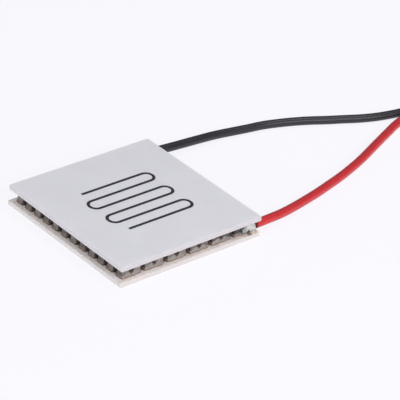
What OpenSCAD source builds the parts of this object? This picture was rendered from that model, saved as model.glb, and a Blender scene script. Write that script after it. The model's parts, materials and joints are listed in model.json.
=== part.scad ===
// Thermoelectric generator module: two ceramic plates with a grid of p and n legs between them,
// wired in series by copper strips, and two insulated leads on the +X edge.
// Millimetres, +Z up. The origin is the middle of the bottom plate's underside.

/* [Plates] */
// Side of each square ceramic plate
plate_side = 30; // [29:0.5:40]
// Thickness of each ceramic plate
plate_t = 0.8; // [0.5:0.1:1.5]

/* [Leg grid] */
// Legs along each side of the square grid, an even number
grid_n = 12; // [4:2:12]
// From a plate's edge to the middle of the outer legs
grid_margin = 1.8; // [1.5:0.05:3]
// Side of a leg's square section
leg_w = 1.4; // [1:0.05:1.5]
// Height of a leg
leg_h = 1.6; // [1.2:0.1:3]

/* [Copper strips] */
// Thickness of a strip
strip_t = 0.3; // [0.2:0.05:0.5]
// How far a strip reaches past the legs on it
strip_margin = 0.2; // [0.1:0.05:0.3]
// Bare ceramic between the end of a lead's pad and the plate's edge
pad_edge_gap = 0.3; // [0.1:0.05:0.8]

/* [Leads] */
// Diameter over the insulation
lead_d = 1.6; // [1.2:0.1:1.8]
// Diameter of the tinned conductor
conductor_d = 0.8; // [0.5:0.05:0.9]
// How far outside the middle of its leg row a lead lies
lead_offset = 0.4; // [0.2:0.05:0.5]
// How far inside the plate's edge the insulation ends
insulation_inset = 0.1; // [0:0.05:0.2]
// Thickness of solder over the conductor
solder_cover = 0.25; // [0.1:0.05:0.4]
// Thickness of solder under the conductor
solder_film = 0.15; // [0.05:0.01:0.3]
// How far the solder runs past the conductor's inner end
solder_end = 0.7; // [0.1:0.05:0.8]
// Length of the stripped far end of a lead
bare_end = 6; // [3:0.5:8]
// Room around a stripped far end for the terminal that takes it
terminal_room = 0.65; // [0.3:0.05:1]

/* [Lead coil] */
// Diameter of the coil at the middle of its turns
coil_d = 16.5; // [14:0.5:17]
// Room between two turns that lie side by side
turn_gap = 0.1; // [0:0.05:0.2]
// Room between the coil and what ends at it
coil_clear = 0.1; // [0.05:0.05:0.3]
// Width of the tie's band
tie_w = 2.5; // [1.5:0.25:4]
// Thickness of the tie's band
tie_t = 0.3; // [0.2:0.05:0.5]
// Depth of the tie's head, outwards from the band
tie_head = 1.2; // [0.8:0.1:1.5]

/* [Hidden] */
$fn = 64;
tube_sides = 8;

// Heights of the stack, from the bottom plate up
strip_z = plate_t;
leg_z = strip_z + strip_t;
top_strip_z = leg_z + leg_h;
top_plate_z = top_strip_z + strip_t;

// Distance from one leg to the next
leg_pitch = (plate_side - 2 * grid_margin) / (grid_n - 1);

// Strips, and the pads that take the leads; edge_x is the edge that the leads leave
edge_x = plate_side / 2;
strip_w = leg_w + 2 * strip_margin;
pad_end_x = edge_x - pad_edge_gap;

// Where each lead is soldered and leaves; the red one on the -Y side, the black one on the +Y side
red_side = -1;
black_side = 1;
lead_r = lead_d / 2;
exit_x = edge_x - insulation_inset;
conductor_x = col_x(grid_n) - leg_w / 2;
plate_clear = 0.05;
lead_z = plate_t + max(strip_t + solder_film + conductor_d / 2, lead_r + plate_clear);
solder_foot = strip_w - 2 * lead_offset;

// The coil: two turns side by side and two layers, red inside and black outside, wound clockwise
coil_heading = -10;
coil_entry = [edge_x + 61.4, -0.7];
coil_layers = 2;
turn_step = lead_d + turn_gap;
red_turn_r = (coil_d - turn_step) / 2;
black_turn_r = (coil_d + turn_step) / 2;
coil_inner_r = red_turn_r - lead_r;
coil_outer_r = black_turn_r + lead_r;
coil_centre = coil_entry + coil_d / 2 * [sin(coil_heading), -cos(coil_heading)];
coil_low_z = tie_t + lead_r;
coil_high_z = coil_low_z + (coil_layers - 1) * lead_d;
coil_top_z = coil_high_z + lead_r;

// Places around the coil, in degrees clockwise from +Y
tie_angle = 60;
red_end_angle = 210;
black_end_angle = 130;

// The stripped far ends start a little below the middle of the upper layer and dip towards the floor
bare_end_drop = 0.3;
bare_end_z = coil_high_z - bare_end_drop;
bare_end_dip = 16;

// Routes of the leads to the coil: straight out, down, then along the floor; X is from the plate's edge
lead_straight = 1.5;
red_route = concat(lead_start(red_side), from_edge([
    [3, -13.5, 1.6], [6.2, -13.2, 1.45], [9.6, -12.5, 1.2], [13.2, -11.6, 0.95], [16.9, -10.7, 0.8],
    [20.5, -9.8, 0.8], [24.3, -8.8, 0.8], [28.4, -7.5, 0.8], [32, -6.2, 0.8], [35.4, -4.8, 0.8],
    [39, -3.3, 0.8], [42.7, -1.8, 0.8], [46, -0.5, 0.8], [48.6, 0.2, 0.8], [51, 0.3, 0.85],
    [53.9, -0.2, 0.9]
]));
black_route = concat(lead_start(black_side), from_edge([
    [3.2, 13.5, 1.6], [6.8, 13.4, 1.45], [10.5, 13.3, 1.3], [14.2, 13.2, 1.1], [17.7, 12.8, 0.95],
    [21.1, 12.3, 0.85], [24.4, 11.8, 0.8], [27.5, 10.9, 0.8], [30.5, 9.8, 0.8], [33.2, 8.6, 0.8],
    [35.9, 7.2, 0.8], [38.7, 5.9, 0.8], [41.4, 4.6, 0.8], [44.3, 3.5, 0.8], [47.4, 2.7, 0.8],
    [49.6, 2.3, 0.8], [53, 1.8, 0.85], [56.4, 1.2, 0.95]
]));

// The grid: rows run along X and are counted from -Y, columns are counted from -X
function grid_place(i) = (i - (grid_n + 1) / 2) * leg_pitch;
function col_x(col) = grid_place(col);
function row_y(row) = grid_place(row);
function is_p(col, row) = (col + row) % 2 == 0;
function is_end_row(row) = row == 1 || row == grid_n;
function has_leg(col, row) = !(col == grid_n && is_end_row(row));
function row_name(stem, row) = str(stem, "_row_", row < 10 ? "0" : "", row);

// The leads
function lead_y(side) = side * (row_y(grid_n) + lead_offset);
function lead_start(side) = [
    [exit_x, lead_y(side), lead_z],
    [exit_x + lead_straight, lead_y(side), lead_z]
];
function from_edge(points) = [for (p = points) p + [edge_x, 0, 0]];

// A tube's rings: the run at a point, and the points around it
function unit(v) = v / norm(v);
function run_at(route, i) = unit(route[min(i + 1, len(route) - 1)] - route[max(i - 1, 0)]);
function ring(route, i) =
    let (run = run_at(route, i), side = unit(cross(run, [0, 0, 1])), up = cross(side, run))
    [
        for (k = [0:tube_sides - 1])
            let (a = 360 * k / tube_sides)
                route[i] + lead_r * (cos(a) * side + sin(a) * up)
    ];
function quad_faces(i, k) =
    let (a = i * tube_sides + k, b = i * tube_sides + (k + 1) % tube_sides)
    [[a, b, b + tube_sides], [a, b + tube_sides, a + tube_sides]];

module tube(route) {
    last = (len(route) - 1) * tube_sides;
    points = [for (i = [0:len(route) - 1]) each ring(route, i)];
    walls = [for (i = [0:len(route) - 2], k = [0:tube_sides - 1]) each quad_faces(i, k)];
    start_cap = [for (k = [tube_sides - 1:-1:0]) k];
    end_cap = [for (k = [0:tube_sides - 1]) last + k];
    polyhedron(points = points, faces = concat([start_cap], walls, [end_cap]));
}

module plate(z) {
    translate([-plate_side / 2, -plate_side / 2, z])
        cube([plate_side, plate_side, plate_t]);
}

module bottom_plate() {
    color("#e0d6d1") plate(0);
}

module top_plate() {
    color("#dad9e0") plate(top_plate_z);
}

// A strip from one grid place to another, longer by reach at its +X end
module strip(col_a, row_a, col_b, row_b, z, reach = 0) {
    translate([col_x(col_a) - strip_w / 2, row_y(row_a) - strip_w / 2, z])
        cube([
            col_x(col_b) - col_x(col_a) + strip_w + reach,
            row_y(row_b) - row_y(row_a) + strip_w,
            strip_t
        ]);
}

// Strips under one row, each joining two legs; in the first and last rows the last one is a lead's pad
module bottom_strips_row(row) {
    pad_col = is_end_row(row) ? grid_n - 1 : 0;
    pad_reach = pad_end_x - col_x(grid_n) - strip_w / 2;
    color("#b3a08c")
        for (col = [1:2:grid_n - 1])
            strip(col, row, col + 1, row, strip_z, reach = col == pad_col ? pad_reach : 0);
}

// Strips over one row, and the turn strip that leads on to the next row
module top_strips_row(row) {
    turn_col = row % 2 == 1 ? 1 : grid_n;
    color("#b3a08c") {
        for (col = [2:2:grid_n - 2])
            strip(col, row, col + 1, row, top_strip_z);
        if (row < grid_n)
            strip(turn_col, row, turn_col, row + 1, top_strip_z);
    }
}

module legs_row(row, p_type) {
    for (col = [1:grid_n])
        if (has_leg(col, row) && is_p(col, row) == p_type)
            translate([col_x(col) - leg_w / 2, row_y(row) - leg_w / 2, leg_z])
                cube([leg_w, leg_w, leg_h]);
}

module p_legs_row(row) {
    color("#6a6661") legs_row(row, true);
}

module n_legs_row(row) {
    color("#7d7a76") legs_row(row, false);
}

module conductor(side) {
    translate([conductor_x, lead_y(side), lead_z])
        rotate([0, 90, 0])
            cylinder(d = conductor_d, h = exit_x - conductor_x);
}

module red_conductor() {
    color("#cfd2d0") conductor(red_side);
}

module black_conductor() {
    color("#cfd2d0") conductor(black_side);
}

// Section of a solder joint across the lead: round over the conductor, with a foot on the pad
module solder_section() {
    joint_d = conductor_d + 2 * solder_cover;
    foot_h = lead_z - leg_z;
    intersection() {
        union() {
            translate([0, foot_h]) circle(d = joint_d);
            translate([-solder_foot / 2, 0]) square([solder_foot, foot_h]);
        }
        translate([-joint_d, 0]) square([2 * joint_d, foot_h + joint_d]);
    }
}

module solder_joint(side) {
    start_x = conductor_x - solder_end;
    difference() {
        translate([start_x, lead_y(side), leg_z])
            rotate([90, 0, 90])
                linear_extrude(pad_end_x - start_x)
                    solder_section();
        conductor(side);
    }
}

module red_solder_joint() {
    color("#c9cdca") solder_joint(red_side);
}

module black_solder_joint() {
    color("#c9cdca") solder_joint(black_side);
}

module red_lead() {
    color("#cd3c41") tube(red_route);
}

module black_lead() {
    color("#2d2d30") tube(black_route);
}

// Section of the coil: one circle for each turn, filled between them
module coil_section() {
    for (r = [red_turn_r, black_turn_r], z = [coil_low_z, coil_high_z])
        translate([r, z]) circle(r = lead_r);
    translate([red_turn_r, tie_t])
        square([turn_step, coil_top_z - tie_t]);
    translate([coil_inner_r, coil_low_z])
        square([coil_outer_r - coil_inner_r, coil_high_z - coil_low_z]);
}

module lead_coil() {
    color("#7a3438")
        translate(coil_centre)
            rotate_extrude()
                coil_section();
}

// Puts its children at the coil's middle with +X along the radius at an angle
module on_coil(angle) {
    translate(coil_centre)
        rotate([0, 0, 90 - angle])
            children();
}

module coil_tie() {
    band_x = coil_inner_r - tie_t;
    band_deep = coil_outer_r + tie_t - band_x;
    band_h = coil_top_z + tie_t;
    head_h = lead_d;
    color("#e8e6e0") {
        difference() {
            on_coil(tie_angle) {
                translate([band_x, -tie_w / 2, 0])
                    cube([band_deep, tie_w, band_h]);
                translate([band_x + band_deep, -tie_w / 2, (band_h - head_h) / 2])
                    cube([tie_head, tie_w, head_h]);
            }
            lead_coil();
        }
    }
}

// A stripped end leaves the coil along its turn, far enough out for its terminal to clear the coil
module tinned_end(turn_r, angle) {
    inner_side = turn_r - conductor_d / 2 - terminal_room;
    tail = sqrt(pow(coil_outer_r + coil_clear, 2) - pow(inner_side, 2));
    color("#cfd2d0")
        on_coil(angle)
            translate([turn_r, -tail, bare_end_z])
                rotate([90 + bare_end_dip, 0, 0])
                    cylinder(d = conductor_d, h = bare_end);
}

module red_tinned_end() {
    tinned_end(red_turn_r, red_end_angle);
}

module black_tinned_end() {
    tinned_end(black_turn_r, black_end_angle);
}

bottom_plate();
top_plate();
for (row = [1:grid_n]) {
    bottom_strips_row(row);
    top_strips_row(row);
    p_legs_row(row);
    n_legs_row(row);
}
red_solder_joint();
black_solder_joint();
red_conductor();
black_conductor();
red_lead();
black_lead();
lead_coil();
coil_tie();
red_tinned_end();
black_tinned_end();
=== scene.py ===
"""Looks of a thermoelectric generator module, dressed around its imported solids."""

import json
import math
import random

import bmesh
import bpy
from bpy.props import FloatProperty, FloatVectorProperty, IntProperty, PointerProperty
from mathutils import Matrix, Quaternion, Vector, noise


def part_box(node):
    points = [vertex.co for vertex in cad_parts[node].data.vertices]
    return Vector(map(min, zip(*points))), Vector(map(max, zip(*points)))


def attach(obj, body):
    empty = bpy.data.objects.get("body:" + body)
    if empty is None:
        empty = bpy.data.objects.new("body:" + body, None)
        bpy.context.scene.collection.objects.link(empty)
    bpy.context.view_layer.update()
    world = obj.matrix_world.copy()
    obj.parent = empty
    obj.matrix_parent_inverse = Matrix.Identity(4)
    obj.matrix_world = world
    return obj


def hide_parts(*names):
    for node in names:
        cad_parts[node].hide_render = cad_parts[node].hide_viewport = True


bl_info = {
    "name": "Generator Module",
    "version": (1, 0, 0),
    "blender": (4, 5, 0),
    "location": "3D View > Sidebar > Generator Module",
    "description": "Dresses the solids of a thermoelectric generator module",
    "category": "Object",
}

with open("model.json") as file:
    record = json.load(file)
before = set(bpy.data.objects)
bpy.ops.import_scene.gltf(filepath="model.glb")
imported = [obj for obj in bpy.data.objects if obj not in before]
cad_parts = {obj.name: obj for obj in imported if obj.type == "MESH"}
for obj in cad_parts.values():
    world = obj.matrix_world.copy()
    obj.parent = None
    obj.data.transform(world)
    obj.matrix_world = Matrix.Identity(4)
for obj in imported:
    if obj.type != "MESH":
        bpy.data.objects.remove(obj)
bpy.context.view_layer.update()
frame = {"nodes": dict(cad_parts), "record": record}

MM = 0.001
BODY = "root"


def middle(node):
    """Middle of a node's box."""
    low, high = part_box(node)
    return (low + high) / 2


def extent(node):
    """Size of a node's box along each axis."""
    low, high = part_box(node)
    return high - low


def row_node(stem, row):
    return f"{stem}_row_{row:02d}"


# The leg grid, read from the rows of the frame
GRID_N = sum(name.startswith("p_legs_row_") for name in frame["nodes"])
ROWS = COLUMNS = range(1, GRID_N + 1)
LEG_PITCH = (middle(row_node("p_legs", GRID_N)).y - middle(row_node("p_legs", 1)).y) / (GRID_N - 1)
LEG_LOW, LEG_HIGH = (corner.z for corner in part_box("p_legs_row_02"))
LEG_W = extent("p_legs_row_02").y
GRID_HALF = ((GRID_N - 1) * LEG_PITCH + LEG_W) / 2
STRIP_W = extent("bottom_strips_row_02").y
PAD_END_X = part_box("bottom_strips_row_01")[1].x
PAD_SIDE_Y = -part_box("bottom_strips_row_01")[0].y
PLATE_EDGE_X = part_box("bottom_plate")[1].x

# Height of the printed line above the plate
INK_T = 0.006 * MM

# The leads: their conductors, and the coil that takes their unseen length
CONDUCTORS = {side: middle(f"{side}_conductor") for side in ("red", "black")}
CONDUCTOR_D = extent("red_conductor").z
LEAD_D = 1.6 * MM
LEAD_STRAIGHT = 1.5 * MM
LEAD_SKIN = 0.015 * MM
COIL_MIDDLE = middle("lead_coil")
COIL_OUTER_R = extent("lead_coil").x / 2
COIL_LOW_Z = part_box("lead_coil")[0].z + LEAD_D / 2
COIL_HIGH_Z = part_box("lead_coil")[1].z - LEAD_D / 2
TURN_GAP = 0.1 * MM
BLACK_TURN_R = COIL_OUTER_R - LEAD_D / 2
RED_TURN_R = BLACK_TURN_R - LEAD_D - TURN_GAP

# Angles around the coil, in degrees clockwise from +Y: the entry, the tie, a turn's climb onto the first,
# and the step from point to point
COIL_ENTRY_ANGLE = 10
TIE_ANGLE = 60
CLIMB_FROM, CLIMB_TO = 240, 320
TURN_STEP = 18

# Where points lie on a lead's way from the coil to its stripped end
TAIL_SHARES = (0.4, 0.75)

# How far marks reach: flux, heat tint and burnt specks from a conductor, and painted shade inside the grid
# as it fades
STAIN_REACH = 2.2 * MM
HEAT_REACH = 15 * MM
SPECK_REACH = 6 * MM
GRID_SHADE_FADE = 1.5 * MM

# Where the outer rows' outward faces begin, with room for legs that sit off their place
OUTER_FACE = (GRID_HALF - 0.15 * MM, GRID_HALF - 0.1 * MM)


def metres(points):
    return [Vector(p) * MM for p in points]


# Routes of the leads to the coil, with X from the plates' edge
RED_ROUTE = metres([
    (3, -13.5, 1.6), (6.2, -13.2, 1.45), (9.6, -12.5, 1.2), (13.2, -11.6, 0.95), (16.9, -10.7, 0.8),
    (20.5, -9.8, 0.8), (24.3, -8.8, 0.8), (28.4, -7.5, 0.8), (32, -6.2, 0.8), (35.4, -4.8, 0.8),
    (39, -3.3, 0.8), (42.7, -1.8, 0.8), (46, -0.5, 0.8), (48.6, 0.2, 0.8), (51, 0.3, 0.85),
    (53.9, -0.2, 0.9),
])
BLACK_ROUTE = metres([
    (3.2, 13.5, 1.6), (6.8, 13.4, 1.45), (10.5, 13.3, 1.3), (14.2, 13.2, 1.1), (17.7, 12.8, 0.95),
    (21.1, 12.3, 0.85), (24.4, 11.8, 0.8), (27.5, 10.9, 0.8), (30.5, 9.8, 0.8), (33.2, 8.6, 0.8),
    (35.9, 7.2, 0.8), (38.7, 5.9, 0.8), (41.4, 4.6, 0.8), (44.3, 3.5, 0.8), (47.4, 2.7, 0.8),
    (49.6, 2.3, 0.8), (53, 1.8, 0.85), (56.4, 1.2, 0.95),
])


# Looks that a user may change

def srgb(red, green, blue):
    """Linear colour of a screen colour given from 0 to 255."""
    def linear(level):
        share = level / 255
        return share / 12.92 if share <= 0.04045 else ((share + 0.055) / 1.055) ** 2.4
    return (linear(red), linear(green), linear(blue))


def colour_prop(name, thing, *screen_colour):
    return FloatVectorProperty(name=name, description=f"Colour of {thing}", default=srgb(*screen_colour),
                               subtype="COLOR", size=3, min=0, max=1)


def number_prop(name, description, default, **kind):
    return FloatProperty(name=name, description=description, default=default, **kind)


def length_prop(name, description, millimetres):
    return number_prop(name, description, millimetres * MM, unit="LENGTH", precision=5)


def angle_prop(name, description, degrees):
    return number_prop(name, description, math.radians(degrees), subtype="ANGLE")


def power_prop(name, description, default):
    return number_prop(name, description, default, unit="POWER")


class PlateLook(bpy.types.PropertyGroup):
    """Sizes and colours of the ceramic plates and of the print on the top one."""

    top_colour: colour_prop("Top plate", "the top plate", 239, 238, 245)
    # Painted shade: the edge colours darken each plate's faces that don't look up, against its upper face
    top_side_shade_colour: colour_prop("Top plate's edge", "the top plate's edges", 206, 201, 204)
    bottom_colour: colour_prop("Bottom plate", "the bottom plate", 252, 244, 240)
    bottom_side_shade_colour: colour_prop("Bottom plate's edge", "the bottom plate's edges", 216, 208, 206)
    flux_colour: colour_prop("Flux", "the flux stains by the leads", 128, 110, 84)
    seep_colour: colour_prop("Seeped flux", "the flux along the outer strips", 196, 160, 146)
    ink_colour: colour_prop("Ink", "the printed line", 40, 40, 47)
    corner_round: length_prop("Corner", "Radius of a plate's corners", 0.16)
    edge_round: length_prop("Edge", "Rounding along a plate's edges", 0.05)
    scribe_pitch: length_prop("Scribe pitch", "From one scribed notch to the next", 0.2)
    scribe_depth: length_prop("Scribe depth", "Depth of the scribed notches", 0.015)
    line_w: length_prop("Printed line", "Width of the printed line", 0.55)


class LegLook(bpy.types.PropertyGroup):
    """Sizes and colours of the legs, their solder and the strips."""

    p_colour: colour_prop("P legs", "the p type legs", 102, 97, 94)
    n_colour: colour_prop("N legs", "the n type legs", 130, 124, 121)
    strip_colour: colour_prop("Strips", "the tinned strips", 164, 149, 142)
    copper_colour: colour_prop("Copper", "bare copper where the tin has worn", 140, 118, 106)
    solder_colour: colour_prop("Solder", "the leads' bright solder", 230, 230, 228)
    coat_colour: colour_prop("Solder coat", "the dull solder on the strips", 160, 153, 149)
    # Painted shade: the colour that darkens faces inside the leg grid, strip ends and the outer columns'
    # sides
    grid_shade_colour: colour_prop("Grime", "old flux inside the leg grid", 120, 102, 95)
    heat_colour: colour_prop("Heat tint", "legs that soldering has tinted", 62, 57, 60)
    leg_round: length_prop("Leg edge", "Rounding of a leg's edges", 0.06)
    leg_rough: length_prop("Saw marks", "Unevenness of a leg's sawn sides", 0.012)
    leg_shift: length_prop("Leg play", "How far a leg may sit off its place", 0.03)
    strip_corner: length_prop("Strip corner", "Radius of a strip's corners", 0.4)
    strip_round: length_prop("Strip edge", "Rounding of a strip's edges on the legs' side", 0.06)
    film: length_prop("Solder film", "Thickness of the solder that coats a strip", 0.06)
    fillet_reach: length_prop("Fillet reach", "How far solder spreads from a leg", 0.2)
    fillet_rise: length_prop("Fillet rise", "How far solder climbs a leg", 0.18)
    saddle_reach: length_prop("Saddle reach", "How far solder spreads between a strip's legs", 0.62)
    saddle_rise: length_prop("Saddle rise", "How far solder climbs between a strip's legs", 0.62)


class LeadLook(bpy.types.PropertyGroup):
    """Sizes and colours of the leads and their tie."""

    red_colour: colour_prop("Red lead", "the red insulation", 199, 46, 52)
    black_colour: colour_prop("Black lead", "the black insulation", 38, 37, 44)
    wire_colour: colour_prop("Tinned wire", "the tinned strands", 206, 208, 204)
    tie_colour: colour_prop("Tie", "the tie", 232, 229, 220)
    lead_length: length_prop("Lead length", "Length of the insulated part of a lead", 144)
    strands: IntProperty(name="Strands", description="Outer strands of a conductor", default=6)
    strand_lay: length_prop("Lay", "Length of one twist of the strands", 7)


class StageLook(bpy.types.PropertyGroup):
    """Camera, floor and lights."""

    azimuth: angle_prop("Azimuth", "Camera's angle round the module", -43.94)
    elevation: angle_prop("Elevation", "Camera's angle above the floor", 31.02)
    roll: angle_prop("Roll", "Camera's turn about its own axis", 6.66)
    distance: length_prop("Distance", "From the camera to the point it aims at", 436.6)
    aim: FloatVectorProperty(name="Aim", description="Point that the camera aims at", size=3,
                             default=(9.32 * MM, -5.65 * MM, 3.94 * MM), subtype="TRANSLATION")
    lens: number_prop("Lens", "Focal length in millimetres", 235.2)
    floor_colour: colour_prop("Floor", "the floor's glow", 250, 249, 254)
    floor_tint: colour_prop("Floor tint", "the floor under light", 104, 103, 106)
    floor_glow: number_prop("Floor glow", "Light that the floor gives off", 0.885)
    sky_colour: colour_prop("Sky", "the light all round", 250, 249, 253)
    sky_light: number_prop("Sky light", "Strength of the light from above", 0.2)
    horizon_light: number_prop("Horizon", "Strength of the pale horizon", 0.97)
    over_power: power_prop("Light above", "Power of the soft light above, to the right", 0.45)
    front_power: power_prop("Front light", "Power of the wide soft light in front, to the left", 2.9)
    left_power: power_prop("Left light", "Power of the low light at the left", 0.86)
    left_tint: FloatVectorProperty(name="Left tint", description="Tint of the low light at the left",
                                   default=(0.88, 0.97, 1), subtype="COLOR", size=3, min=0, max=1)


# Meshes

class Shape:
    """Collects closed lofts and slabs into one mesh."""

    def __init__(self):
        self.points = []
        self.faces = []
        self.flat_faces = set()

    def loft(self, rings, closed=False):
        """Joins rings of equal count; a closed loft comes back to its first ring, others get caps."""
        base = len(self.points)
        count = len(rings[0])
        for ring in rings:
            self.points.extend(ring)
        for i in range(len(rings) if closed else len(rings) - 1):
            here = base + i * count
            there = base + (i + 1) % len(rings) * count
            for k in range(count):
                after = (k + 1) % count
                self.faces.append((here + k, here + after, there + after, there + k))
        if not closed:
            last = base + (len(rings) - 1) * count
            self.flat_faces.update((len(self.faces), len(self.faces) + 1))
            self.faces.append(tuple(range(base + count - 1, base - 1, -1)))
            self.faces.append(tuple(range(last, last + count)))

    def stack(self, levels, points, place, closed=False):
        """Lofts a ring for each level, through the place of every point at that level."""
        self.loft([[place(level, point) for point in points] for level in levels], closed)

    def slab(self, grid, back_z):
        """Closes a grid of points into a slab with a flat back."""
        base = len(self.points)
        rows, count = len(grid), len(grid[0])
        for line in grid:
            self.points.extend(line)
        for i in range(rows - 1):
            for k in range(count - 1):
                corner = base + i * count + k
                self.faces.append((corner, corner + 1, corner + count + 1, corner + count))
        rim = [(0, k) for k in range(count - 1)] + [(i, count - 1) for i in range(rows - 1)]
        rim += [(rows - 1, k) for k in range(count - 1, 0, -1)] + [(i, 0) for i in range(rows - 1, 0, -1)]
        back = len(self.points)
        self.points.extend(Vector((grid[i][k].x, grid[i][k].y, back_z)) for i, k in rim)
        for n, (i, k) in enumerate(rim):
            after = (n + 1) % len(rim)
            j, m = rim[after]
            self.faces.append((base + i * count + k, base + j * count + m, back + after, back + n))
        self.flat_faces.add(len(self.faces))
        self.faces.append(tuple(range(back, back + len(rim))))

    def piece(self, name, finish):
        """The mesh as an object that rides on the module."""
        mesh = bpy.data.meshes.new(name)
        mesh.from_pydata(self.points, [], self.faces)
        mesh.polygons.foreach_set("use_smooth", [i not in self.flat_faces for i in range(len(self.faces))])
        work = bmesh.new()
        work.from_mesh(mesh)
        bmesh.ops.recalc_face_normals(work, faces=work.faces)
        work.to_mesh(mesh)
        work.free()
        return dressed(name, mesh, finish)

    def stand_in(self, name, finish, node, slot):
        """The mesh as a piece that replaces a node."""
        piece = self.piece(name, finish)
        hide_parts(node)
        return piece


def dressed(name, data, finish):
    """Links a mesh or curve with its finish, and lets it ride on the module."""
    piece = bpy.data.objects.new(name, data)
    bpy.context.scene.collection.objects.link(piece)
    data.materials.append(finish)
    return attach(piece, BODY)


def rounded_outline(half_x, half_y, radius, corner_steps, side_steps):
    """Points of a rounded rectangle about the origin, anticlockwise."""
    points = []
    for corner, (sx, sy) in enumerate(((1, 1), (-1, 1), (-1, -1), (1, -1))):
        cx, cy = sx * (half_x - radius), sy * (half_y - radius)
        for step in range(corner_steps + 1):
            angle = math.radians(90 * (corner + step / corner_steps))
            points.append(Vector((cx + radius * math.cos(angle), cy + radius * math.sin(angle))))
    divided = []
    for i, point in enumerate(points):
        divided.append(point)
        if i % (corner_steps + 1) == corner_steps:
            following = points[(i + 1) % len(points)]
            divided += [point.lerp(following, k / side_steps) for k in range(1, side_steps)]
    return divided


def unevenness(point, grain, amount):
    """Smooth noise at a point, from -amount to amount, with features about one grain wide."""
    return amount * noise.noise(point / grain)


def heading(path, i):
    """Direction of a path at one of its points."""
    return (path[min(i + 1, len(path) - 1)] - path[max(i - 1, 0)]).normalized()


def tube_rings(path, radius, sides):
    """Rings of a round tube along a path."""
    rings = []
    for i, point in enumerate(path):
        run = heading(path, i)
        side = run.cross(Vector((0, 0, 1))).normalized()
        up = side.cross(run)
        turns = (2 * math.pi * k / sides for k in range(sides))
        rings.append([point + radius * (math.cos(a) * side + math.sin(a) * up) for a in turns])
    return rings


def smooth(share):
    """Eases from 0 to 1."""
    share = min(1, max(0, share))
    return share * share * (3 - 2 * share)


# Finishes

def add_node(tree, kind, inputs, **settings):
    """A node of a tree, with its settings, and each input a value or a link."""
    made = tree.nodes.new(kind)
    for setting, value in settings.items():
        setattr(made, setting, value)
    for socket, value in inputs.items():
        if isinstance(value, bpy.types.NodeSocket):
            tree.links.new(value, made.inputs[socket])
        else:
            made.inputs[socket].default_value = value
    return made


def shade(colour, factor):
    """A colour made lighter or darker."""
    return tuple(min(1, level * factor) for level in colour)


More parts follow.
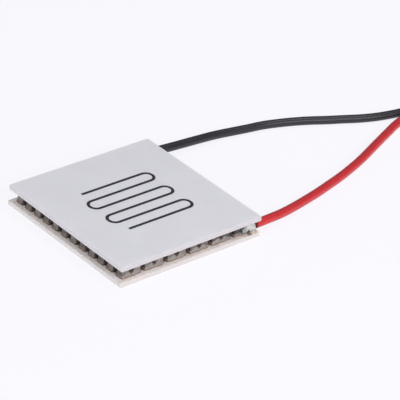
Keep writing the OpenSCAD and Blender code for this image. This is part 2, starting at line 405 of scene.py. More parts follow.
class Finish:
    """A node material under way, laid out by the module's own coordinates; grain is given in millimetres."""

    def __init__(self, name, **sockets):
        self.material = bpy.data.materials.new(name)
        self.material.use_nodes = True
        self.tree = self.material.node_tree
        self.shader = self.tree.nodes["Principled BSDF"]
        for socket, value in sockets.items():
            self.shader.inputs[socket.replace("_", " ")].default_value = value
        coordinates = self.node("ShaderNodeTexCoord", {})
        self.place = coordinates.outputs["Object"]
        self.facing = coordinates.outputs["Normal"]

    def node(self, kind, inputs, **settings):
        return add_node(self.tree, kind, inputs, **settings)

    def number(self, operation, *values):
        """A number worked out from others."""
        return self.node("ShaderNodeMath", dict(enumerate(values)), operation=operation).outputs[0]

    def placed(self, operation, other):
        """What an operation makes of the place and another vector."""
        return self.node("ShaderNodeVectorMath", {0: self.place, 1: other}, operation=operation).outputs

    def larger(self, first, second):
        return self.number("MAXIMUM", first, second)

    def product(self, first, *others):
        for other in others:
            first = self.number("MULTIPLY", first, other)
        return first

    def part_of(self, vector, axis):
        """One part of a place or a direction."""
        return self.node("ShaderNodeSeparateXYZ", {"Vector": vector}).outputs[axis]

    def size_of(self, vector, axis):
        """Size of one part of a place or a direction, without its sign."""
        return self.number("ABSOLUTE", self.part_of(vector, axis))

    def between(self, value, low, high, start, end):
        """From low to high while a value goes from start to end."""
        inputs = {"Value": value, "From Min": start, "From Max": end, "To Min": low, "To Max": high}
        return self.node("ShaderNodeMapRange", inputs).outputs["Result"]

    def square_to(self, axis, *ramp):
        """A ramp as a face turns to look along an axis, either way."""
        return self.between(self.size_of(self.facing, axis), *ramp)

    def upper(self, *ramp):
        """A ramp as a face turns to look up."""
        return self.between(self.part_of(self.facing, "Z"), *ramp)

    def outward(self, axis, *ramp):
        """A ramp away from the module's middle along an axis, either way."""
        return self.between(self.size_of(self.place, axis), *ramp)

    def near(self, place, reach):
        """One at a place, falling to nothing at its reach."""
        return self.between(self.placed("DISTANCE", place)["Value"], 1, 0, 0.25 * reach, reach)

    def within_grid(self, margin, fade):
        """One inside the leg grid, falling to nothing over a fade that ends a margin inside its faces."""
        spread = self.larger(self.size_of(self.place, "X"), self.size_of(self.place, "Y"))
        return self.between(spread, 1, 0, GRID_HALF - margin - fade, GRID_HALF - margin)

    def grid_shade(self):
        """Painted shade: on upright faces inside the grid, all faces deep inside, and strip ends, where
        shadow falls.
        """
        upright = self.product(self.square_to("Z", 1, 0, 0.3, 0.85), self.within_grid(0, 0.05 * MM))
        inside = self.larger(upright, self.within_grid(0.1 * MM, GRID_SHADE_FADE))
        return self.larger(inside, self.square_to("X", 0, 0.95, 0.3, 0.7))

    def painted_side_shade(self):
        """Painted shade: on sides in the outer columns that face a neighbour along Y, in its shadow."""
        column = GRID_HALF - LEG_W
        return self.product(self.square_to("Y", 0, 1, 0.15, 0.5),
                            self.outward("X", 0, 1, column - 0.1 * MM, column),
                            self.outward("Y", 1, 0, *OUTER_FACE))

    def grain(self, width, detail=4, stretch=(1, 1, 1)):
        """Noise with features about one width across, wider along a stretched axis."""
        spot = self.placed("MULTIPLY", [1 / s for s in stretch])[0]
        inputs = {"Vector": spot, "Scale": 1 / (width * MM), "Detail": detail}
        return self.node("ShaderNodeTexNoise", inputs).outputs["Fac"]

    def patches(self, width, low=0, high=1, start=0.3, end=0.7, detail=4):
        """From low to high in patches about one width across."""
        return self.between(self.grain(width, detail), low, high, start, end)

    def mixed(self, share, first, second):
        """Colour between two colours or colour sockets."""
        inputs = {0: share}
        for socket, colour in ((6, first), (7, second)):
            inputs[socket] = colour if isinstance(colour, bpy.types.NodeSocket) else (*colour, 1)
        return self.node("ShaderNodeMix", inputs, data_type="RGBA").outputs[2]

    def cloudy(self, colour, width, first, second):
        """Patches of two shades of a colour."""
        return self.mixed(self.patches(width), shade(colour, first), shade(colour, second))

    def with_painted_shade(self, tone, grid_shade_colour):
        """A tone darkened by painted shade inside the grid, on strip ends and on the outer columns' sides.
        """
        tone = self.mixed(self.product(self.grid_shade(), 0.85), tone, grid_shade_colour)
        return self.mixed(self.painted_side_shade(), tone, shade(grid_shade_colour, 0.55))

    def wear(self, socket, value):
        """Drives one of the shader's sockets."""
        self.tree.links.new(value, self.shader.inputs[socket])

    def done(self, tone, *bumps, rough=()):
        """The material: its colour, bumps by a grain's width, detail and depth, and patches of roughness."""
        self.wear("Base Color", tone)
        if rough:
            self.wear("Roughness", self.patches(*rough))
        for width, detail, depth, *stretch in bumps:
            inputs = {"Height": self.grain(width, detail, *stretch), "Distance": depth * MM, "Strength": 1}
            before = self.shader.inputs["Normal"].links
            if before:
                inputs["Normal"] = before[0].from_socket
            self.wear("Normal", self.node("ShaderNodeBump", inputs).outputs["Normal"])
        return self.material


def alumina(name, colour, side_shade_colour, flux=()):
    """Fired ceramic: fine grain, faint cloudiness and painted shade on faces that don't look up, under any
    flux stains and painted grid shade.
    """
    made = Finish(name, Subsurface_Weight=0.4, Subsurface_Scale=1,
                  Subsurface_Radius=(0.55 * MM, 0.52 * MM, 0.5 * MM))
    tone = made.cloudy(colour, 5, 0.98, 1.015)
    # Painted shade: faces that don't look up take the darker side colour
    tone = made.mixed(made.upper(1, 0, 0.75, 0.97), tone, side_shade_colour)
    tone = made.mixed(made.patches(0.25, 0, 0.16, 0.62, 0.75, 2), tone, shade(colour, 0.8))
    if flux:
        tone = under_flux(made, tone, *flux)
    return made.done(tone, (0.06, 3, 0.004), rough=(1.2, 0.48, 0.62))


def under_flux(made, tone, look, grid_shade_colour):
    """A plate's tone with flux on its upper face: stains by the leads and along the outer rows, and painted
    shade inside the grid.
    """
    upper = made.upper(0, 1, 0.5, 0.9)
    out = STRIP_W / 4
    for foot in CONDUCTORS.values():
        place = Vector((foot.x - out, foot.y + math.copysign(out, foot.y), LEG_LOW))
        stain = made.product(made.near(place, STAIN_REACH), made.patches(0.9, 0.2, 1, 0.38, 0.6), upper)
        tone = made.mixed(stain, tone, look.flux_colour)
    seeped = made.product(made.outward("Y", 0, 1, GRID_HALF - 0.1 * MM, GRID_HALF),
                          made.outward("Y", 1, 0, GRID_HALF + 0.15 * MM, GRID_HALF + 0.95 * MM),
                          made.patches(1.3, 0, 0.5, 0.42, 0.62, 2), upper)
    tone = made.mixed(seeped, tone, look.seep_colour)
    # Painted shade on the plate's upper face inside the leg grid
    film = made.product(made.within_grid(0, 0.5 * MM), made.patches(0.6, 0.65, 0.95), upper)
    return made.mixed(film, tone, grid_shade_colour)


def screen_ink(name, colour):
    """Screen-printed ink, a little patchy."""
    made = Finish(name, Roughness=0.6)
    return made.done(made.cloudy(colour, 0.3, 0.85, 1.3), (0.05, 2, 0.003))


def sawn_alloy(name, colour, sawn, heat_colour):
    """Dull blotchy alloy, its own tone on each leg: painted light on the outer rows' outward faces, painted
    shade on the outer columns' sides, tinted by heat.
    """
    made = Finish(name, Metallic=0.25)
    cell = made.placed("SNAP", (LEG_PITCH, LEG_PITCH, 1))[0]
    own = made.node("ShaderNodeTexWhiteNoise", {"Vector": cell}).outputs["Value"]
    blotches = made.patches(0.4, 0, 0.75, 0.36, 0.64, 3)

    def cut(level):
        plain = made.mixed(own, shade(colour, 0.93 * level), shade(colour, 1.26 * level))
        return made.mixed(blotches, plain, shade(colour, 0.5 * level))

    # Painted light: the outer rows' outward faces take a lighter tone
    outer = made.product(made.outward("Y", 0, 1, *OUTER_FACE), made.square_to("Y", 0, 1, 0.5, 0.8))
    tone = made.mixed(outer, cut(1), cut(sawn))
    # Painted shade on the outer columns' leg sides that face a neighbour
    tone = made.mixed(made.painted_side_shade(), tone, cut(0.8))
    specks = made.patches(0.22, 0, 0.7, 0.55, 0.68, 2)
    for place in CONDUCTORS.values():
        warmth = made.near(place, HEAT_REACH)
        tone = made.mixed(made.product(warmth, 0.88), tone, heat_colour)
        tone = made.mixed(made.product(warmth, specks), tone, shade(heat_colour, 0.6))
    return made.done(tone, (0.05, 2, 0.008, (8, 8, 1)), (0.12, 4, 0.01), rough=(0.2, 0.38, 0.62))


def tinned_copper(name, look):
    """Copper strip under a thin coat of tin that wears through in places, with painted shade inside the
    grid.
    """
    made = Finish(name, Metallic=0.35)
    tone = made.mixed(made.patches(0.7, 0, 0.7, 0.5, 0.66), look.strip_colour, look.copper_colour)
    return made.done(made.with_painted_shade(tone, look.grid_shade_colour), (0.15, 3, 0.008), rough=(0.3, 0.42, 0.62))


def dull_solder(name, look):
    """Solder on the strips: grey and grainy, with painted shade inside the grid and burnt specks near the
    leads.
    """
    made = Finish(name, Metallic=0.15)
    tone = made.cloudy(look.coat_colour, 0.4, 1, 0.72)
    specks = made.patches(0.25, 0.45, 1, 0.45, 0.6, 2)
    for place in CONDUCTORS.values():
        tone = made.mixed(made.product(made.near(place, SPECK_REACH), specks), tone, look.heat_colour)
    return made.done(made.with_painted_shade(tone, look.grid_shade_colour), (0.1, 3, 0.01), rough=(0.4, 0.4, 0.6))


def solder_metal(name, colour, roughness=(0.32, 0.52), inner_shade_span=()):
    """Set solder: bright, with duller patches and specks of burnt flux; any painted shade fades out between
    two X.
    """
    made = Finish(name, Metallic=0.75)
    tone = made.cloudy(colour, 0.4, 1, 0.72)
    tone = made.mixed(made.patches(0.32, 0, 0.85, 0.66, 0.74, 2), tone, shade(colour, 0.18))
    if inner_shade_span:
        # Painted shade: darker towards the joint's inner end, beside the neighbour leg
        joint_shade = made.between(made.part_of(made.place, "X"), 1, 0, *inner_shade_span)
        tone = made.mixed(joint_shade, tone, shade(colour, 0.4))
    return made.done(tone, (0.1, 3, 0.01), rough=(0.4, *roughness))


def burnt_resin(name, colour):
    """Glassy drop of burnt flux."""
    made = Finish(name)
    return made.done(made.cloudy(colour, 0.15, 1, 2.2), (0.08, 2, 0.006), rough=(0.15, 0.25, 0.45))


def insulation(name, colour, cut_end):
    """Satin rubber of a lead: even colour with faint rub marks and dust, and painted shade at its cut end.
    """
    made = Finish(name, Specular_IOR_Level=0.45)
    tone = made.cloudy(colour, 1.5, 0.92, 1.06)
    tone = made.mixed(made.patches(0.12, 0, 0.18, 0.66, 0.74, 2), tone, shade(colour, 1.6))
    # Painted shade: darker over the first half millimetre from the cut end
    end_shade = made.between(made.part_of(made.place, "X"), 0.75, 0, cut_end, cut_end + 0.45 * MM)
    tone = made.mixed(end_shade, tone, shade(colour, 0.25))
    return made.done(tone, (0.09, 3, 0.003), rough=(0.8, 0.28, 0.4))


def nylon(name, colour):
    """Natural nylon of the tie, a little see-through to light."""
    made = Finish(name, Subsurface_Weight=0.2, Subsurface_Scale=1,
                  Subsurface_Radius=(0.6 * MM, 0.55 * MM, 0.5 * MM))
    return made.done(made.cloudy(colour, 0.8, 0.94, 1), (0.08, 2, 0.003), rough=(0.3, 0.34, 0.46))


def pale_floor(name, look):
    """Plain pale floor that gives off some light, so that shadows on it stay faint."""
    made = Finish(name, Roughness=0.9, Specular_IOR_Level=0.1, Emission_Color=(*look.floor_colour, 1),
                  Emission_Strength=look.floor_glow)
    return made.done(made.cloudy(look.floor_tint, 200, 0.98, 1))


# Operators

class GENERATOR_OT_stage(bpy.types.Operator):
    """Set up the camera, the floor and soft studio light"""

    bl_idname = "generator.stage"
    bl_label = "Stage"

    floor_half = 1.5
    floor_drop = 0.01 * MM
    horizon_low, horizon_high = 0.06, 0.14

    # Place, and width and height, of each lamp
    over_lamp = ((0.2, 0, 0.45), (0.2, 0.2))
    front_lamp = ((-0.1, -0.47, 0.33), (0.9, 0.38))
    left_lamp = ((-0.54, 0.04, 0.1), (0.18, 0.18))

    def execute(self, context):
        look = context.scene.generator_stage
        self.camera(context.scene, look)
        self.floor(context.scene, look)
        self.sky(context.scene, look)
        self.softbox(context.scene, "over_light", *self.over_lamp, look.over_power)
        self.softbox(context.scene, "front_light", *self.front_lamp, look.front_power)
        left = self.softbox(context.scene, "left_light", *self.left_lamp, look.left_power)
        left.color = look.left_tint
        context.scene.view_settings.view_transform = "Standard"
        return {"FINISHED"}

    def aimed(self, scene, data, place, way, roll=0):
        """A camera or lamp at a place, looking one way."""
        made = bpy.data.objects.new(data.name, data)
        made.location = place
        made.rotation_mode = "QUATERNION"
        made.rotation_quaternion = way.to_track_quat("-Z", "Y") @ Quaternion((0, 0, 1), roll)
        scene.collection.objects.link(made)
        return made

    def camera(self, scene, look):
        flat = math.cos(look.elevation)
        back = Vector((math.sin(look.azimuth) * flat, -math.cos(look.azimuth) * flat,
                       math.sin(look.elevation)))
        data = bpy.data.cameras.new("camera")
        data.lens = look.lens
        data.clip_start = 1 * MM
        scene.camera = self.aimed(scene, data, Vector(look.aim) + look.distance * back, -back, look.roll)

    def floor(self, scene, look):
        half = self.floor_half
        mesh = bpy.data.meshes.new("floor")
        corners = [(-half, -half, 0), (half, -half, 0), (half, half, 0), (-half, half, 0)]
        mesh.from_pydata(corners, [], [(0, 1, 2, 3)])
        mesh.materials.append(pale_floor("pale_floor", look))
        floor = bpy.data.objects.new("floor", mesh)
        floor.location.z = -self.floor_drop
        scene.collection.objects.link(floor)

    def sky(self, scene, look):
        """Dim light from above, and a pale horizon."""
        sky = bpy.data.worlds.new("studio")
        sky.use_nodes = True
        tree = sky.node_tree
        way = add_node(tree, "ShaderNodeTexCoord", {}).outputs["Generated"]
        fade = add_node(tree, "ShaderNodeMapRange", {
            "Value": add_node(tree, "ShaderNodeSeparateXYZ", {"Vector": way}).outputs["Z"],
            "From Min": self.horizon_low, "From Max": self.horizon_high,
            "To Min": look.horizon_light, "To Max": look.sky_light,
        })
        backdrop = tree.nodes["Background"]
        backdrop.inputs["Color"].default_value = (*look.sky_colour, 1)
        tree.links.new(fade.outputs["Result"], backdrop.inputs["Strength"])
        scene.world = sky

    def softbox(self, scene, name, place, size, power):
        data = bpy.data.lights.new(name, "AREA")
        data.shape = "ELLIPSE"
        data.size, data.size_y = size
        data.energy = power
        lamp = self.aimed(scene, data, place, -Vector(place))
        lamp.visible_camera = False
        return data


def on_coil(turn_r, angle, z):
    """Point on the coil at an angle in degrees clockwise from +Y."""
    turn = math.radians(angle)
    return Vector((COIL_MIDDLE.x + turn_r * math.sin(turn), COIL_MIDDLE.y + turn_r * math.cos(turn), z))


def bare_end(side):
    """Start, direction and length of a lead's stripped far end, from its mount."""
    mount = next(m for m in frame["record"]["mounts"] if m["name"] == f"{side}_lead_tip")
    axis = Vector(mount["axis"])
    length = mount["dims"]["length_mm"] * MM
    return Vector(mount["pos_m"]) - axis * length / 2, axis, length


def coil_turns(turn_r, end_angle):
    """A lead's turns: once round on the floor side, then up onto the first turn, to an angle."""
    steps = round((end_angle - COIL_ENTRY_ANGLE) / TURN_STEP)
    points = []
    for step in range(steps + 1):
        turned = (end_angle - COIL_ENTRY_ANGLE) * step / steps
        climb = smooth((turned - CLIMB_FROM) / (CLIMB_TO - CLIMB_FROM))
        z = COIL_LOW_Z + climb * (COIL_HIGH_Z - COIL_LOW_Z)
        points.append(on_coil(turn_r, COIL_ENTRY_ANGLE + turned, z))
    return points


def lead_points(side, route, turn_r):
    """A lead's whole line: out of the plates, along its route, round the coil and off to its end."""
    joint = CONDUCTORS[side]
    start = Vector((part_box(f"{side}_lead")[0].x, joint.y, joint.z))
    out = [start, start + Vector((LEAD_STRAIGHT, 0, 0))]
    along = [p + Vector((PLATE_EDGE_X, 0, 0)) for p in route]
    end, axis, _ = bare_end(side)
    leaving = math.degrees(math.atan2(-axis.y, axis.x)) % 360
    turns = coil_turns(turn_r, leaving + 360)
    off = turns[-1]
    flat_end = Vector((end.x, end.y, off.z))
    tail = [off.lerp(flat_end, share) for share in TAIL_SHARES]
    return out + along + turns + tail + [end]


class GENERATOR_OT_leads(bpy.types.Operator):
    """Make the red and the black lead, coiled at their far ends"""

    bl_idname = "generator.leads"
    bl_label = "Leads"

    def execute(self, context):
        look = context.scene.generator_leads
        ends = self.stripped_ends(look)
        cut_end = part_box("red_lead")[0].x
        for side, route, turn_r, colour in (("red", RED_ROUTE, RED_TURN_R, look.red_colour),
                                            ("black", BLACK_ROUTE, BLACK_TURN_R, look.black_colour)):
            finish = insulation(f"{side}_insulation", colour, cut_end)
            points = lead_points(side, route, turn_r)
            wire = self.lead(f"{side}_wire", points, finish)
            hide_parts(f"{side}_lead", "lead_coil")
            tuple(points[0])
        return {"FINISHED"}

    def lead(self, name, points, finish):
        curve = bpy.data.curves.new(name, "CURVE")
        curve.dimensions = "3D"
        curve.bevel_depth = LEAD_D / 2 - LEAD_SKIN
        curve.bevel_resolution = 6
        curve.resolution_u = 6
        curve.use_fill_caps = True
        spline = curve.splines.new("BEZIER")
        spline.bezier_points.add(len(points) - 1)
        for knot, point in zip(spline.bezier_points, points):
            knot.co = point
            knot.handle_left_type = knot.handle_right_type = "AUTO"
        return dressed(name, curve, finish)

    def stripped_ends(self, look):
        finish = solder_metal("tinned_strands", look.wire_colour)
        ends = {}
        for side in CONDUCTORS:
            shape = Shape()
            add_strands(shape, *bare_end(side), look)
            ends[side] = shape.stand_in(f"{side}_stripped_end", finish, f"{side}_tinned_end", "tinned_wire")
        return ends


def add_strands(shape, start, axis, length, look):
    """A twisted bundle of strands about a core, as wide as the conductor."""
    strand_r = CONDUCTOR_D / 6
    lay_r = CONDUCTOR_D / 2 - strand_r
    ring_gap = 0.25 * MM
    core_steps = 4
    strand_sides, core_sides = 10, 12
    side = axis.cross(Vector((0, 0, 1))).normalized()
    up = side.cross(axis)
    rings = 2 + round(length / ring_gap)
    for strand in range(look.strands):
        path = []
        for i in range(rings):
            along = length * i / (rings - 1)
            angle = 2 * math.pi * (strand / look.strands + along / look.strand_lay)
            path.append(start + along * axis + lay_r * (math.cos(angle) * side + math.sin(angle) * up))
        shape.loft(tube_rings(path, strand_r, strand_sides))
    core = [start + length * axis * i / core_steps for i in range(core_steps + 1)]
    shape.loft(tube_rings(core, lay_r, core_sides))


class GENERATOR_OT_tie(bpy.types.Operator):
    """Make the tie that holds the coil of leads"""

    bl_idname = "generator.tie"
    bl_label = "Coil tie"

    band_t = 0.3 * MM
    band_w = 2.5 * MM
    band_round = 0.06 * MM
    mid_z = (COIL_HIGH_Z + LEAD_D / 2 + band_t) / 2
    head_deep = 1.2 * MM
    head_round = 0.2 * MM

    # Height, as a share of half the head's, and inset in millimetres
    head_levels = ((-1, 0.12), (-0.9, 0.03), (-0.8, 0), (0.8, 0), (0.9, 0.03), (1, 0.12))
    tail_inset = 0.3 * MM
    tail_from, tail_to = -0.1 * MM, 0.45 * MM

    def execute(self, context):
        shape = Shape()
        self.band(shape)
        self.head(shape)
        finish = nylon("natural_nylon", context.scene.generator_leads.tie_colour)
        shape.stand_in("nylon_tie", finish, "coil_tie", "tie")
        return {"FINISHED"}

    def place(self, out, along, z):
        """Point by its distance from the coil's middle, along the turns and up."""
        turn = math.radians(TIE_ANGLE)
        radial = Vector((math.sin(turn), math.cos(turn), 0))
        forward = Vector((math.cos(turn), -math.sin(turn), 0))
        return Vector((COIL_MIDDLE.x, COIL_MIDDLE.y, z)) + out * radial + along * forward

    def band(self, shape):
        """A flat band all round the turns."""
        inner_r = RED_TURN_R - LEAD_D / 2
        half_out = (COIL_OUTER_R - inner_r) / 2 + self.band_t
        mid_out = (COIL_OUTER_R + inner_r) / 2
        bend = LEAD_D / 2 + self.band_t
        section = rounded_outline(self.band_w / 2, self.band_t / 2, self.band_round, 3, 3)
        outer = rounded_outline(half_out, self.mid_z, bend, 8, 4)
        inner = rounded_outline(half_out - self.band_t, self.mid_z - self.band_t, bend - self.band_t, 8, 4)

        def place(side, s):
            p = side[0].lerp(side[1], 0.5 + s.y / self.band_t)
            return self.place(mid_out + p.x, s.x, self.mid_z + p.y)

        shape.stack(zip(outer, inner), section, place, closed=True)

    def head(self, shape):
        """The head outside the turns, and the band's cut tail that stands out of it."""
        start = COIL_OUTER_R + self.band_t
        half_h = LEAD_D / 2
        rings = []
        for level, inset in self.head_levels:
            outline = rounded_outline(self.head_deep / 2 - inset * MM, self.band_w / 2 - inset * MM,
                                      self.head_round, 4, 2)
            mid_out = start + self.head_deep / 2
            rings.append([self.place(mid_out + p.x, p.y, self.mid_z + level * half_h) for p in outline])
        shape.loft(rings)
        tail = rounded_outline(self.band_t / 2, self.band_w / 2 - self.tail_inset, self.band_round, 2, 2)
        mid_out = start + 0.45 * self.head_deep
        heights = [self.mid_z + half_h + up for up in (self.tail_from, self.tail_to)]
        shape.loft([[self.place(mid_out + p.x, p.y, z) for p in tail] for z in heights])


class GENERATOR_OT_plates(bpy.types.Operator):
    """Make the two ceramic plates with their scribed edges"""

    bl_idname = "generator.plates"
    bl_label = "Ceramic plates"

    per_notch = 4
    rough_grain, rough_depth = 0.6 * MM, 0.02 * MM
    chip_grain, chip_depth = 1.7 * MM, 0.12 * MM
    chip_from = 0.55

    def execute(self, context):
        look = context.scene.generator_plates
        flux = (look, context.scene.generator_legs.grid_shade_colour)
        finishes = {
            "bottom": alumina("bottom_alumina", look.bottom_colour, look.bottom_side_shade_colour, flux),
            "top": alumina("top_alumina", look.top_colour, look.top_side_shade_colour),
        }
        for side, finish in finishes.items():
            shape = Shape()
            self.plate(shape, f"{side}_plate", look)
            shape.stand_in(f"{side}_ceramic", finish, f"{side}_plate", f"{side}_ceramic")
        return {"FINISHED"}

    def plate(self, shape, node, look):
        """A plate, notched along its upper edge where it was scribed, and a little rough and chipped."""
        low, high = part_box(node)
        half = (high.x - low.x) / 2
        side_steps = self.per_notch * round(2 * half / look.scribe_pitch)
        outer = rounded_outline(half, half, look.corner_round, 8, side_steps)
        step_in = look.corner_round / 2
        inner = rounded_outline(half - step_in, half - step_in, look.corner_round - step_in, 8, side_steps)
        thick = high.z - low.z
        face = high.z - INK_T
        edge = look.edge_round
        levels = (
            (low.z, edge, 0),
            (low.z + 0.3 * edge, 0.3 * edge, 0),
            (low.z + edge, 0, 0),
            (low.z + 0.45 * thick, 0, 0.2),
            (low.z + 0.62 * thick, 0, 1),
            (face - edge, 0, 1),
            (face - 0.3 * edge, 0.3 * edge, 0.8),
            (face, edge, 0.3),
        )

        def place(level, i):
            z, inset, scribed = level
            notch = 0.5 + 0.5 * math.cos(2 * math.pi * i / self.per_notch)
            spot = Vector((outer[i].x, outer[i].y, z))
            depth = inset + scribed * notch * look.scribe_depth
            depth += abs(unevenness(spot, self.rough_grain, self.rough_depth))
            if inset > 0:
                depth += max(0, unevenness(spot, self.chip_grain, 1) - self.chip_from) * self.chip_depth
            p = outer[i].lerp(inner[i], depth / step_in)
            return Vector((p.x, p.y, z))

        shape.stack(levels, range(len(outer)), place)


class GENERATOR_OT_print(bpy.types.Operator):
    """Print one plain winding line on the top plate"""

    bl_idname = "generator.print"
    bl_label = "Printed line"

    runs = 6
    run_length = 13 * MM
    run_pitch = 2.5 * MM
    turn_steps = 12

    def execute(self, context):
        look = context.scene.generator_plates
        path = self.winding()
        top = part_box("top_plate")[1].z

        def place(i, corner):
            way, down = corner
            run = heading(path, i)
            side = Vector((-run.y, run.x)) * look.line_w / 2
            return Vector((path[i].x + way * side.x, path[i].y + way * side.y, top - down))

        shape = Shape()
        section = ((1, 2 * INK_T), (-1, 2 * INK_T), (-1, 0), (1, 0))
        shape.stack(range(len(path)), section, place)
        piece = shape.piece("printed_line", screen_ink("plate_ink", look.ink_colour))
        for face in piece.data.polygons:
            face.use_smooth = False
        return {"FINISHED"}

    def winding(self):
        """Straight runs side by side, joined by half turns."""
        points = []
        half = self.run_length / 2
        turn_r = self.run_pitch / 2
        for run in range(self.runs):
            y = (run - (self.runs - 1) / 2) * self.run_pitch
            way = 1 if run % 2 == 0 else -1
            points += [Vector((-way * half, y)), Vector((way * half, y))]
            if run < self.runs - 1:
                for step in range(1, self.turn_steps):
                    angle = math.pi * (step / self.turn_steps - 0.5)
                    points.append(Vector((way * (half + turn_r * math.cos(angle)),
                                          y + turn_r + turn_r * math.sin(angle))))
        return points


def grid_place(i):
    """Place of a column along X or of a row along Y."""
    return (i - (GRID_N + 1) / 2) * LEG_PITCH


def bottom_pairs(row):
    """Grid places that each bottom strip of a row joins."""
    return [(c, row, c + 1, row) for c in range(1, GRID_N, 2)]


def top_pairs(row):
    """Grid places that each top strip of a row joins, with the turn to the next row."""
    pairs = [(c, row, c + 1, row) for c in range(2, GRID_N - 1, 2)]
    turn = 1 if row % 2 else GRID_N
    return pairs + [(turn, row, turn, row + 1)] if row < GRID_N else pairs


def strip_span(pair, upwards):
    """Where a strip starts and ends along X and along Y; the pads run on to the plate's edge."""
    col_a, row_a, col_b, row_b = pair
    x0, x1 = grid_place(col_a) - STRIP_W / 2, grid_place(col_b) + STRIP_W / 2
    y0, y1 = grid_place(row_a) - STRIP_W / 2, grid_place(row_b) + STRIP_W / 2
    if upwards and row_a in (1, GRID_N) and col_b == GRID_N:
        x1 = PAD_END_X
    return x0, x1, y0, y1


class GENERATOR_OT_strips(bpy.types.Operator):
    """Make the copper strips that join the legs in series"""

    bl_idname = "generator.strips"
    bl_label = "Copper strips"

    def execute(self, context):
        look = context.scene.generator_legs
        finish = tinned_copper("tinned_copper", look)
        for row in ROWS:
            self.row("bottom_strips", row, bottom_pairs(row), look, finish, upwards=True)
            self.row("top_strips", row, top_pairs(row), look, finish, upwards=False)
        return {"FINISHED"}

    def row(self, stem, row, pairs, look, finish, upwards):
        node = row_node(stem, row)
        low, high = (corner.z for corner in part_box(node))
        face, back = (high, low) if upwards else (low, high)
        edge = look.strip_round if upwards else -look.strip_round
        levels = ((back, 0), (face - edge, 0.2), (face - 0.3 * edge, 0.5), (face, 1.2))
        shape = Shape()
        for pair in pairs:
            x0, x1, y0, y1 = strip_span(pair, upwards)
            rings = []
            for z, share in levels:
                inset = share * look.strip_round
                outline = rounded_outline((x1 - x0) / 2 - inset, (y1 - y0) / 2 - inset,
                                          look.strip_corner, 5, 6)
                rings.append([Vector((p.x + (x0 + x1) / 2, p.y + (y0 + y1) / 2, z)) for p in outline])
            shape.loft(rings)
        shape.stand_in(f"tinned_{node}", finish, node, "copper_strip")


def legs_of(row, p_type):
    """Columns of a row's p or n legs; the outer corners by the leads have none."""
    ends = (1, GRID_N)
    return [c for c in COLUMNS if ((c + row) % 2 == 0) == p_type and not (c == GRID_N and row in ends)]


class GENERATOR_OT_legs(bpy.types.Operator):
    """Make the sawn semiconductor legs"""

    bl_idname = "generator.legs"
    bl_label = "Legs"

    # How much lighter the outer rows' outward faces are painted, as painted light
    p_paler, n_paler = 1.7, 1.38

    seed = 7
    most_twist = 1.5
    rough_grain = 0.35 * MM
    levels = (0, 0.04, 0.15, 0.3, 0.45, 0.6, 0.75, 0.88, 0.96, 1)

    def execute(self, context):
        look = context.scene.generator_legs
        finishes = {
            "p_legs": sawn_alloy("p_alloy", look.p_colour, self.p_paler, look.heat_colour),
            "n_legs": sawn_alloy("n_alloy", look.n_colour, self.n_paler, look.heat_colour),
        }
        chance = random.Random(self.seed)
        for row in ROWS:
            for stem, finish in finishes.items():
                shape = Shape()
                for col in legs_of(row, stem == "p_legs"):
                    self.leg(shape, col, row, look, chance)
                node = row_node(stem, row)
                shape.stand_in(f"sawn_{node}", finish, node, stem[:-1])
        return {"FINISHED"}

    def leg(self, shape, col, row, look, chance):
        """A leg with uneven sides, a little off its place and turned."""
        x = grid_place(col) + chance.uniform(-1, 1) * look.leg_shift
        y = grid_place(row) + chance.uniform(-1, 1) * look.leg_shift
        twist = math.radians(chance.uniform(-self.most_twist, self.most_twist))
        cos, sin = math.cos(twist), math.sin(twist)

        def place(level, p):
            z = LEG_LOW + level * (LEG_HIGH - LEG_LOW)
            spot = Vector((p.x + x, p.y + y, z))
            swell = 1 + unevenness(spot, self.rough_grain, look.leg_rough) / (LEG_W / 2)
            px, py = p.x * swell, p.y * swell
            return Vector((x + px * cos - py * sin, y + px * sin + py * cos, z))

        shape.stack(self.levels, rounded_outline(LEG_W / 2, LEG_W / 2, look.leg_round, 3, 5), place)


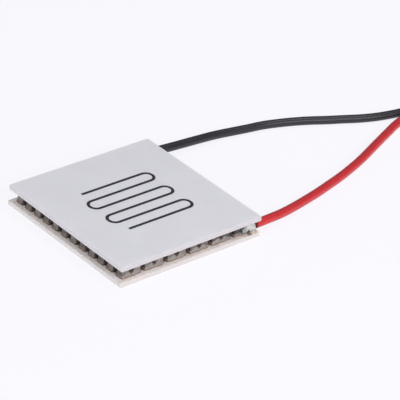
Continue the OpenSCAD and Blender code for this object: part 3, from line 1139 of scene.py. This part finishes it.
class GENERATOR_OT_leg_solder(bpy.types.Operator):
    """Coat every strip with solder that climbs its legs"""

    bl_idname = "generator.leg_solder"
    bl_label = "Leg solder"

    inset = 0.04 * MM
    bury = 0.08 * MM
    rim = 0.09 * MM
    line_gap = 0.02 * MM

    # Grid lines by a leg's face, in millimetres out from it
    face_lines = (-0.04, 0.03, 0.09, 0.17, 0.28)
    lump_grain, lump_share = 0.5 * MM, 0.35

    def execute(self, context):
        look = context.scene.generator_legs
        finish = dull_solder("leg_solder", look)
        for row in ROWS:
            shape = Shape()
            for pair in bottom_pairs(row):
                self.coat(shape, pair, True, look)
            for pair in top_pairs(row):
                self.coat(shape, pair, False, look)
            shape.piece(f"leg_solder_row_{row:02d}", finish)
        return {"FINISHED"}

    def coat(self, shape, pair, upwards, look):
        """Solder over one strip, thin between its legs and drawn up against them."""
        x0, x1, y0, y1 = strip_span(pair, upwards)
        span = (x0 + self.inset, x1 - self.inset, y0 + self.inset, y1 - self.inset)
        standing = [(c, r) for c, r in (pair[:2], pair[2:]) if c in legs_of(r, True) + legs_of(r, False)]
        legs = [Vector((grid_place(c), grid_place(r))) for c, r in standing]
        face, way = (LEG_LOW, 1) if upwards else (LEG_HIGH, -1)
        grid = []
        for x in self.lines(span[0], span[1], [leg.x for leg in legs]):
            line = []
            for y in self.lines(span[2], span[3], [leg.y for leg in legs]):
                height = self.height(Vector((x, y)), span, legs, look)
                spot = self.rounded(Vector((x, y)), span, look.strip_corner)
                line.append(Vector((spot.x, spot.y, face + way * height)))
            grid.append(line)
        shape.slab(grid, face - way * self.bury)

    def lines(self, low, high, legs):
        """Grid lines along one axis, close together by the rim and by the legs' faces."""
        steps = [0, 0.5 * self.rim, self.rim, 2 * self.rim]
        lines = [low + s for s in steps] + [high - s for s in steps] + [(low + high) / 2]
        for leg in legs:
            for side in (-1, 1):
                face = leg + side * LEG_W / 2
                lines += [face + side * out * MM for out in self.face_lines]
        kept = []
        for line in sorted(v for v in lines if low <= v <= high):
            if not kept or line - kept[-1] > self.line_gap:
                kept.append(line)
        return kept

    def height(self, spot, span, legs, look):
        """Thickness of the solder at a spot on a strip."""
        climbs = [(look.fillet_rise, look.fillet_reach)]
        if len(legs) == 2:
            step = legs[1] - legs[0]
            if 0 < (spot - legs[0]).dot(step) < step.length_squared:
                climbs.append((look.saddle_rise, look.saddle_reach))
        thick = look.film
        for leg in legs:
            out = Vector([max(0, abs(away) - LEG_W / 2) for away in spot - leg]).length
            for rise, reach in climbs:
                thick = max(thick, look.film + rise * max(0, 1 - out / reach) ** 2)
        uneven = 1 + unevenness(spot.to_3d(), self.lump_grain, self.lump_share)
        rim = min(spot.x - span[0], span[1] - spot.x, spot.y - span[2], span[3] - spot.y)
        return thick * uneven * smooth(rim / self.rim)

    def rounded(self, spot, span, radius):
        """A spot of a rectangle, drawn in where the rectangle's corners are round."""
        centre = Vector((min(max(spot.x, span[0] + radius), span[1] - radius),
                         min(max(spot.y, span[2] + radius), span[3] - radius)))
        away = spot - centre
        if away.length == 0:
            return spot
        return centre + away * max(abs(away.x), abs(away.y)) / away.length


class GENERATOR_OT_lead_joints(bpy.types.Operator):
    """Solder the leads' stripped conductors to their pads"""

    bl_idname = "generator.lead_joints"
    bl_label = "Lead joints"

    # Between which shares of a joint's length the painted shade on its inner end fades out
    shade_fades = (0.15, 0.48)

    # Shares of a joint's length, height and width, from its rounded nose to a thin collar
    stations = (
        (0, 0.3, 0.7), (0.04, 0.46, 0.86), (0.12, 0.62, 0.96), (0.25, 0.78, 1.02), (0.4, 0.9, 1.04),
        (0.56, 0.98, 1.02), (0.72, 1, 0.98), (0.88, 0.98, 0.92), (0.96, 0.92, 0.86), (1, 0.84, 0.8),
    )
    arc_steps = 18
    flare = 0.16 * MM
    wets_down = 0.16 * MM
    lump_grain, lump_share = 0.5 * MM, 0.06

    bead_r = 0.24 * MM
    bead_levels = (-0.97, -0.85, -0.6, -0.25, 0.1, 0.45, 0.75, 0.95)
    bead_sides = 16
    bead_grain, bead_share = 0.3 * MM, 0.3

    def execute(self, context):
        leads = context.scene.generator_leads
        low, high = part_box("red_solder_joint")
        inner_shade_span = [low.x + share * (high.x - low.x) for share in self.shade_fades]
        colour = context.scene.generator_legs.solder_colour
        bright = solder_metal("bright_solder", colour, (0.5, 0.68), inner_shade_span)
        wire = solder_metal("tinned_wire", leads.wire_colour)
        for side, heart in CONDUCTORS.items():
            low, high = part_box(f"{side}_conductor")
            strands = Shape()
            add_strands(strands, Vector((low.x, heart.y, heart.z)), Vector((1, 0, 0)), high.x - low.x, leads)
            strands.stand_in(f"{side}_strands", wire, f"{side}_conductor", "tinned_wire")
            joint = Shape()
            self.blob(joint, f"{side}_solder_joint", heart.y)
            joint.stand_in(f"{side}_solder", bright, f"{side}_solder_joint", "solder")
        self.bead(context.scene.generator_plates.flux_colour)
        return {"FINISHED"}

    def bead(self, flux_colour):
        """A drop of burnt flux on the outer foot of the red joint."""
        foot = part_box("red_solder_joint")[0]
        heart = Vector((middle("red_solder_joint").x - 1.4 * self.bead_r, foot.y - 0.3 * self.bead_r,
                        foot.z + 0.35 * self.bead_r))

        def place(level, k):
            reach = self.bead_r * math.sqrt(1 - level ** 2)
            angle = 2 * math.pi * k / self.bead_sides
            spot = Vector((1.35 * reach * math.cos(angle), 0.8 * reach * math.sin(angle),
                           level * self.bead_r))
            return heart + spot * (1 + unevenness(heart + spot, self.bead_grain, self.bead_share))

        shape = Shape()
        shape.stack(self.bead_levels, range(self.bead_sides), place)
        shape.piece("burnt_flux", burnt_resin("burnt_flux", shade(flux_colour, 0.1)))

    def blob(self, shape, node, wire_y):
        """Solder drawn out along the conductor and down over the pad's outer edge."""
        low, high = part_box(node)
        crown = high.z - low.z
        half = (high.y - low.y) / 2
        rings = []
        for share, tall, wide in self.stations:
            x = low.x + share * (high.x - low.x)
            ring = []
            for k in range(self.arc_steps + 1):
                angle = math.pi * k / self.arc_steps
                flare = self.flare * (1 - math.sin(angle)) ** 3
                y = -math.cos(angle) * (half * wide * 0.95 + flare)
                z = crown * tall * math.sin(angle) ** 0.75
                lump = 1 + unevenness(Vector((x, y, z)), self.lump_grain, self.lump_share)
                ring.append(Vector((x, wire_y + y * lump, low.z + z * min(1, lump))))
            tucked = Vector((x, math.copysign(PAD_SIDE_Y, wire_y), low.z - self.wets_down))
            rings.append([tucked] + ring if wire_y < 0 else ring + [tucked])
        shape.loft(rings)


OPERATORS = (
    GENERATOR_OT_stage, GENERATOR_OT_leads, GENERATOR_OT_tie, GENERATOR_OT_plates, GENERATOR_OT_print,
    GENERATOR_OT_strips, GENERATOR_OT_legs, GENERATOR_OT_leg_solder, GENERATOR_OT_lead_joints,
)
LOOKS = {
    "generator_plates": PlateLook,
    "generator_legs": LegLook,
    "generator_leads": LeadLook,
    "generator_stage": StageLook,
}


class GENERATOR_PT_module(bpy.types.Panel):
    """Sizes, colours and pieces of the generator module"""

    bl_idname = "GENERATOR_PT_module"
    bl_label = "Generator Module"
    bl_space_type = "VIEW_3D"
    bl_region_type = "UI"
    bl_category = "Generator Module"

    def draw(self, context):
        for name, group in LOOKS.items():
            box = self.layout.box()
            for prop in group.__annotations__:
                box.prop(getattr(context.scene, name), prop)
        for operator in OPERATORS:
            self.layout.operator(operator.bl_idname)


CLASSES = (*LOOKS.values(), *OPERATORS, GENERATOR_PT_module)


def register():
    for each in CLASSES:
        bpy.utils.register_class(each)
    for name, group in LOOKS.items():
        setattr(bpy.types.Scene, name, PointerProperty(type=group))


def unregister():
    for name in LOOKS:
        delattr(bpy.types.Scene, name)
    for each in reversed(CLASSES):
        bpy.utils.unregister_class(each)


def main():
    register()
    bpy.ops.generator.stage()
    bpy.ops.generator.leads()
    bpy.ops.generator.tie()
    bpy.ops.generator.plates()
    bpy.ops.generator.print()
    bpy.ops.generator.strips()
    bpy.ops.generator.legs()
    bpy.ops.generator.leg_solder()
    bpy.ops.generator.lead_joints()


if __name__ == "__main__":
    main()
